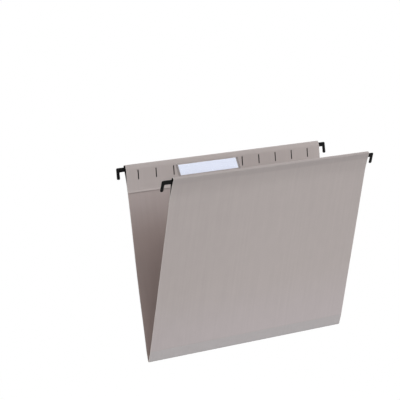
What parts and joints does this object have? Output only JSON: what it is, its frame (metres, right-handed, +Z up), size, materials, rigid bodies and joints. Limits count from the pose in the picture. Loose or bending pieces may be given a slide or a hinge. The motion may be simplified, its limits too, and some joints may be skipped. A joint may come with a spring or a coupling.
{
  "type": "hanging file folder",
  "caption": "Letter-size hanging file folder: scored card body with rolled hems, hooked steel rods and a clear clip-in index tab with paper insert.",
  "frame": {"origin": "middle of the bottom fold, on its axis", "axes": "+X along the fold, +Y towards the back panel, +Z up"},
  "size_m": [0.3249, 0.1006, 0.2426],
  "materials": {
    "card": "matte warm grey card with a faint upright grain",
    "rod_steel": "bare rolled steel strip",
    "hook_black": "black dipped plastic",
    "clear_plastic": "clear glossy film",
    "insert_paper": "plain white paper",
    "glue": "dried white glue"
  },
  "bodies": {
    "back_rod": {"back_rod": "rod_steel", "back_left_hook_coat": "hook_black", "back_right_hook_coat": "hook_black"},
    "back_panel": {"back_panel": "card", "back_hem_glue": "glue"},
    "back_strip": {"back_bottom_strip": "card", "bottom_fold": "card"},
    "front_strip": {"front_bottom_strip": "card"},
    "front_panel": {"front_panel": "card", "front_hem_glue": "glue", "tab_foot": "clear_plastic"},
    "front_rod": {"front_rod": "rod_steel", "front_left_hook_coat": "hook_black", "front_right_hook_coat": "hook_black"},
    "tab_window": {"tab_window": "clear_plastic"},
    "tab_insert": {"tab_insert": "insert_paper"}
  },
  "joints": [
    {"name": "back_rod_slide", "type": "slide", "parent": "back_rod", "child": "back_panel", "axis": [1, 0, 0], "range_m": [-0.0079, 0.0071]},
    {"name": "back_score", "type": "hinge", "parent": "back_panel", "child": "back_strip", "pos_m": [0, 0.00361, 0.01218], "axis": [1, 0, 0], "range_deg": [0, 45]},
    {"name": "fold_open", "type": "hinge", "parent": "back_strip", "child": "front_strip", "pos_m": [0, 0, 0], "axis": [1, 0, 0], "range_deg": [-21.4, 156.9]},
    {"name": "front_score", "type": "hinge", "parent": "front_strip", "child": "front_panel", "pos_m": [0, -0.00376, 0.01213], "axis": [1, 0, 0], "range_deg": [0, 45]},
    {"name": "front_rod_slide", "type": "slide", "parent": "front_panel", "child": "front_rod", "axis": [1, 0, 0], "range_m": [-0.0045, 0.0105]},
    {"name": "tab_tilt", "type": "hinge", "parent": "front_panel", "child": "tab_window", "pos_m": [0, -0.04636, 0.22887], "axis": [-1, 0, 0], "range_deg": [-39, 25]},
    {"name": "insert_slide", "type": "slide", "parent": "tab_window", "child": "tab_insert", "axis": [1, 0, 0], "range_m": [-0.095, 0.095]}
  ]
}
